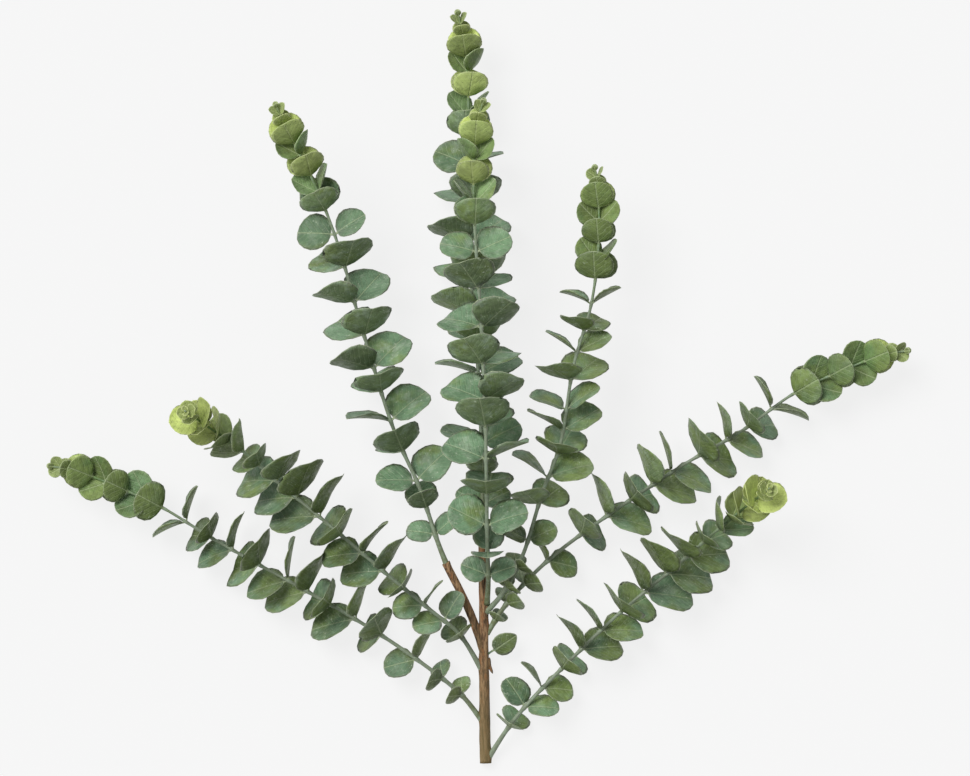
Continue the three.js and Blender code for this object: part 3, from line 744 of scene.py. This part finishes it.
class AddTrunk(bpy.types.Operator):
    """Add the woody trunk with its twig, bark spur and cut end"""

    bl_idname = "leaf_spray.add_trunk"
    bl_label = "Trunk"

    def execute(self, context):
        bark = finish_of("fibrous_bark", bark_finish, context)
        trunk_shell = self.wood(context, TRUNK_ROUTE, TRUNK_RADII, TRUNK_SIDES, True)
        twig_shell = self.wood(context, TWIG_ROUTE, TWIG_RADII, TWIG_SIDES, False)
        trunk = skinned("trunk_bark", [trunk_shell], bark)
        twig = skinned("side_twig_bark", [twig_shell], bark)
        spur = skinned("bark_spur", [self.spur()], bark)
        cut = skinned("trunk_cut_end", [self.cut_end()], finish_of("cut_wood", cut_wood_finish, context))
        for piece in (trunk, twig, spur, cut):
            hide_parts("trunk")
        return {"FINISHED"}

    def wood(self, context, points, radii, sides, cut):
        """A bark bar: its radius plus ridges and a collar where each leafy stem leaves it.

        The ridges are a sum of sines of the angle that drift along the bar. A collar is a bell curve
        along the bar, exp(-((d - ahead) / reach)^2), times exp((cos(angle from the stem) - 1) / spread)
        round it. A cut bar turns in at its lower end to take the cut face.
        """
        sizes = context.scene.spray_sizes
        route = route_of(points)
        total = route["along"][-1]
        along = np.linspace(0, total, int(total * MM / sizes.bark_step) + 2)
        angles = 2 * np.pi * np.arange(sides) / sides
        radius = np.interp(along, np.linspace(0, total, len(radii)), radii)[:, None]
        drift, turn = along[:, None], angles[None]
        ridges = (
            0.42 * np.sin(4 * turn + 0.05 * drift + 1.1 * np.sin(0.06 * drift))
            + 0.34 * np.sin(7 * turn - 0.09 * drift + np.sin(0.11 * drift + 1))
            + 0.24 * np.sin(11 * turn + 0.21 * drift)
            + 0.2 * np.sin(0.35 * drift + 2 * turn) * np.sin(0.13 * drift)
        )
        relief = sizes.bark_relief / MM * ridges
        spots, _, top, side = frames_at(route, along)
        collar = np.zeros_like(relief)
        for *_, stem in STEMS:
            way = np.array(stem[1]) - np.array(stem[0])
            nearest = np.argmin(np.linalg.norm(spots - np.array(stem[0]), axis=1))
            apart = np.linalg.norm(spots[nearest] - stem[0])
            if apart > radii[0] or nearest > len(along) - COLLAR["end_rings"]:
                continue
            heading = np.arctan2(way @ top[nearest], way @ side[nearest])
            past = (along - along[nearest] - COLLAR["ahead"]) / COLLAR["reach"]
            around = np.exp((np.cos(turn - heading) - 1) / COLLAR["spread"])
            collar += COLLAR["height"] * np.exp(-(past**2))[:, None] * around
        full = radius + relief + collar
        if cut:
            rings = CUT_RIM["faded_rings"]
            full[:rings] -= relief[:rings] * CUT_RIM["fading"]
            full[0] *= CUT_RIM["narrowing"]
            along = along.copy()
            along[:2] = CUT_RIM["along"]
        from_cut_end = drift + (0 if cut else TWIG_FROM_CUT_END)
        return {"places": rod(route, along, full, angles), "values": {"relief": relief, "at": from_cut_end}}

    def spur(self):
        """A bark flake: an oval bar that narrows to its point as (1 - share)^narrowing."""
        route = route_of(SPUR_ROUTE)
        along = np.linspace(0, route["along"][-1], SPUR_SIDES)
        angles = 2 * np.pi * np.arange(SPUR_SIDES) / SPUR_SIDES
        share = (along / along[-1])[:, None]
        width = SPUR["radius"] * (1 - share) ** SPUR["narrowing"] + SPUR["point_radius"]
        width = width * (1 + SPUR["ripple"] * np.sin(SPUR["ripple_pace"] * share))
        radius = width * np.sqrt(np.cos(angles) ** 2 + SPUR["flatness"] * np.sin(angles) ** 2)[None]
        values = {"relief": SPUR["relief"], "at": SPUR["from_cut_end"]}
        return {"places": rod(route, along, radius, angles), "values": values}

    def cut_end(self):
        """The cut face: a low dome of rings from the rim to the pith, inside the turned-in bark."""
        route = route_of(TRUNK_ROUTE)
        along = np.array(CUT_FACE["along"])
        share = np.array(CUT_FACE["share"])[:, None]
        angles = 2 * np.pi * np.arange(TRUNK_SIDES) / TRUNK_SIDES
        radius = (TRUNK_RADII[0] - CUT_FACE["inset"]) * share * (1 + 0.02 * np.sin(3 * angles))
        return {"places": rod(route, along, radius, -angles), "values": {"radius": radius}}


class AddTrunkLeaf(bpy.types.Operator):
    """Add the single leaf at the trunk, on its own stalk"""

    bl_idname = "leaf_spray.add_trunk_leaf"
    bl_label = "Trunk Leaf"

    def execute(self, context):
        sizes = context.scene.spray_sizes
        route = route_of(TRUNK_LEAF_ROUTE)
        spot, _, _, _ = frames_at(route, np.array(TRUNK_LEAF["root_along"]))
        _, end_direction, _, _ = frames_at(route, route["along"][-1])
        facing = np.array(TRUNK_LEAF["facing"], float)
        leaf = {
            **TRUNK_LEAF, "root": spot, "direction": end_direction,
            "normal": unit(facing - end_direction * (facing @ end_direction)),
            "seed": 7, "bud": False, "youth": 0.0, "youth_under": 0.0, "age": 1.0,
            "taper": 0.45, "tone": 0.1, "warmth": 0.9,
        }
        along = np.linspace(0, route["along"][-1], TRUNK_LEAF_STALK["rings"])
        angles = 2 * np.pi * np.arange(STEM_SIDES) / STEM_SIDES
        radius = np.interp(along, [0, along[-1]], TRUNK_LEAF_STALK["radii"])[:, None]
        clear = TRUNK_LEAF_STALK["clear_of_lines"]
        stalk = {
            "places": rod(route, along, radius * np.ones(STEM_SIDES), angles),
            "values": {
                "off_midrib": clear, "off_edge": clear, "along": 0.0, "upper": 1.0, "youth": 0.0,
                "youth_under": 0.0, "age": 1.0, "bud": 0.0, "tone": 0.5, "warmth": 0.5,
            },
        }
        material = finish_of("waxy_leaf", leaf_finish, context)
        piece = skinned("trunk_leaf_blade", [blade(leaf, sizes), stalk], material)
        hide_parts("trunk_leaf")
        return {"FINISHED"}


class AddStems(bpy.types.Operator):
    """Add the eight green stems"""

    bl_idname = "leaf_spray.add_stems"
    bl_label = "Leafy Stems"

    def execute(self, context):
        material = finish_of("green_stem", stem_finish, context)
        for name, posture, _, pairs, points in STEMS:
            nodes = (YOUNG_PAIRS + POSTURES[posture]["old_pairs"])[:pairs]
            piece = skinned(f"stem_{name}", [self.stem(context, points, nodes)], material)
            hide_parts(f"leafy_stem_{name}")
        return {"FINISHED"}

    def stem(self, context, points, pairs):
        """A round bar that tapers to the tip and swells at each pair of leaves.

        The radius is the taper times 1 + swelling exp(-(d / reach)^2) over the pairs, plus a flare
        exp(-along / reach) at the wood, and a slight three-sided ripple turns along the bar.
        """
        sizes = context.scene.spray_sizes
        route = route_of(points)
        total = route["along"][-1]
        along = np.linspace(0, total, int(total * MM / sizes.stem_step))
        angles = 2 * np.pi * np.arange(STEM_SIDES) / STEM_SIDES
        shares, radii = zip(*STEM_TAPER)
        radius = np.interp(along / total, shares, radii)
        nodes = total - np.array([at for at, _, _ in pairs]) * total / GROWTH_LENGTH
        bells = np.exp(-(((along[:, None] - nodes) / NODE_REACH) ** 2)).sum(axis=1)
        radius = radius * (1 + sizes.node_swelling * bells) + FLARE_HEIGHT * np.exp(-along / FLARE_REACH)
        turn = STEM_RIPPLE["sides"] * angles + STEM_RIPPLE["twist"] * along[:, None]
        radius = radius[:, None] * (1 + STEM_RIPPLE["height"] * np.sin(turn))
        return {"places": rod(route, along, radius, angles), "values": {"at": (total - along)[:, None]}}


class AddOldLeaves(bpy.types.Operator):
    """Add the green leaves of every stem"""

    bl_idname = "leaf_spray.add_old_leaves"
    bl_label = "Green Leaves"

    def execute(self, context):
        material = finish_of("waxy_leaf", leaf_finish, context)
        for index, (name, _, _, pairs, _) in enumerate(STEMS):
            green = range(TIP_PAIRS, pairs)
            add_leaves(context, f"leaves_{name}", index, green, material, f"leafy_stem_{name}")
        return {"FINISHED"}


class AddYoungTips(bpy.types.Operator):
    """Add the pale young leaves and buds at the stems' tips"""

    bl_idname = "leaf_spray.add_young_tips"
    bl_label = "Young Tips"

    def execute(self, context):
        material = finish_of("waxy_young_leaf", leaf_finish, context)
        for index, (name, *_) in enumerate(STEMS):
            young, node = range(TIP_PAIRS), f"young_tip_{name}"
            add_leaves(context, f"young_leaves_{name}", index, young, material, node)
        return {"FINISHED"}


class SetStage(bpy.types.Operator):
    """Set the table, the soft lights and the camera"""

    bl_idname = "leaf_spray.set_stage"
    bl_label = "Stage"

    def execute(self, context):
        self.table(context)
        self.lights(context)
        self.camera(context)
        return {"FINISHED"}

    def table(self, context):
        """A flat square table just under the spray."""
        corners = [(-1, -1), (1, -1), (1, 1), (-1, 1)]
        places = [(x * TABLE_HALF_WIDTH, y * TABLE_HALF_WIDTH, TABLE_HEIGHT) for x, y in corners]
        mesh = bpy.data.meshes.new("table")
        mesh.from_pydata(places, [], [(0, 1, 2, 3)])
        mesh.materials.append(finish_of("table_top", table_finish, context))
        table = bpy.data.objects.new("table", mesh)
        context.scene.collection.objects.link(table)

    def lights(self, context):
        """A bright even room and one large soft light from the upper left."""
        world = bpy.data.worlds.new("room")
        world.use_nodes = True
        background = world.node_tree.nodes["Background"]
        background.inputs["Color"].default_value = ROOM_COLOUR
        background.inputs["Strength"].default_value = ROOM_STRENGTH
        context.scene.world = world
        lamp = bpy.data.lights.new("soft_key", "SUN")
        lamp.energy = KEY_STRENGTH
        lamp.angle = np.radians(KEY_SPREAD)
        light = bpy.data.objects.new("soft_key", lamp)
        light.rotation_euler = Vector(KEY_DIRECTION).to_track_quat("-Z", "Y").to_euler()
        context.scene.collection.objects.link(light)
        context.scene.view_settings.view_transform = "Standard"

    def camera(self, context):
        """A long lens straight above the middle of the photograph's frame."""
        lens = bpy.data.cameras.new("camera")
        lens.sensor_width = SENSOR_WIDTH
        lens.lens = SENSOR_WIDTH * CAMERA_HEIGHT / (FRAME_PIXELS[0] * PIXEL_SIZE)
        lens.clip_end = 5 * CAMERA_HEIGHT
        camera = bpy.data.objects.new("camera", lens)
        above_cut_end = (CUT_END_ROW - FRAME_PIXELS[1] / 2) * PIXEL_SIZE
        across, up, _ = CUT_END_TO_ORIGIN * MM
        camera.location = (across, up + above_cut_end, CAMERA_HEIGHT)
        context.scene.collection.objects.link(camera)
        context.scene.camera = camera


OPERATORS = (AddTrunk, AddTrunkLeaf, AddStems, AddOldLeaves, AddYoungTips, SetStage)


class SprayPanel(bpy.types.Panel):
    """Sizes, colours and pieces of the leaf spray"""

    bl_idname = "VIEW3D_PT_leaf_spray"
    bl_label = "Eucalyptus Leaf Spray"
    bl_space_type = "VIEW_3D"
    bl_region_type = "UI"
    bl_category = "Leaf Spray"

    def draw(self, context):
        layout = self.layout
        for group in (context.scene.spray_sizes, context.scene.spray_colours):
            box = layout.box()
            for key in group.bl_rna.properties.keys():
                if key not in ("rna_type", "name"):
                    box.prop(group, key)
        for operator in OPERATORS:
            layout.operator(operator.bl_idname)


CLASSES = (SpraySizes, SprayColours, *OPERATORS, SprayPanel)


def register():
    """Makes the classes known, and gives the scene its sizes and colours."""
    for cls in CLASSES:
        bpy.utils.register_class(cls)
    bpy.types.Scene.spray_sizes = bpy.props.PointerProperty(type=SpraySizes)
    bpy.types.Scene.spray_colours = bpy.props.PointerProperty(type=SprayColours)


def unregister():
    """Takes back what register did, in the opposite order."""
    del bpy.types.Scene.spray_colours
    del bpy.types.Scene.spray_sizes
    for cls in reversed(CLASSES):
        bpy.utils.unregister_class(cls)


def main():
    """Builds the whole spray."""
    register()
    bpy.ops.leaf_spray.add_trunk()
    bpy.ops.leaf_spray.add_trunk_leaf()
    bpy.ops.leaf_spray.add_stems()
    bpy.ops.leaf_spray.add_old_leaves()
    bpy.ops.leaf_spray.add_young_tips()
    bpy.ops.leaf_spray.set_stage()
    bpy.context.view_layer.update()


if __name__ == "__main__":
    main()
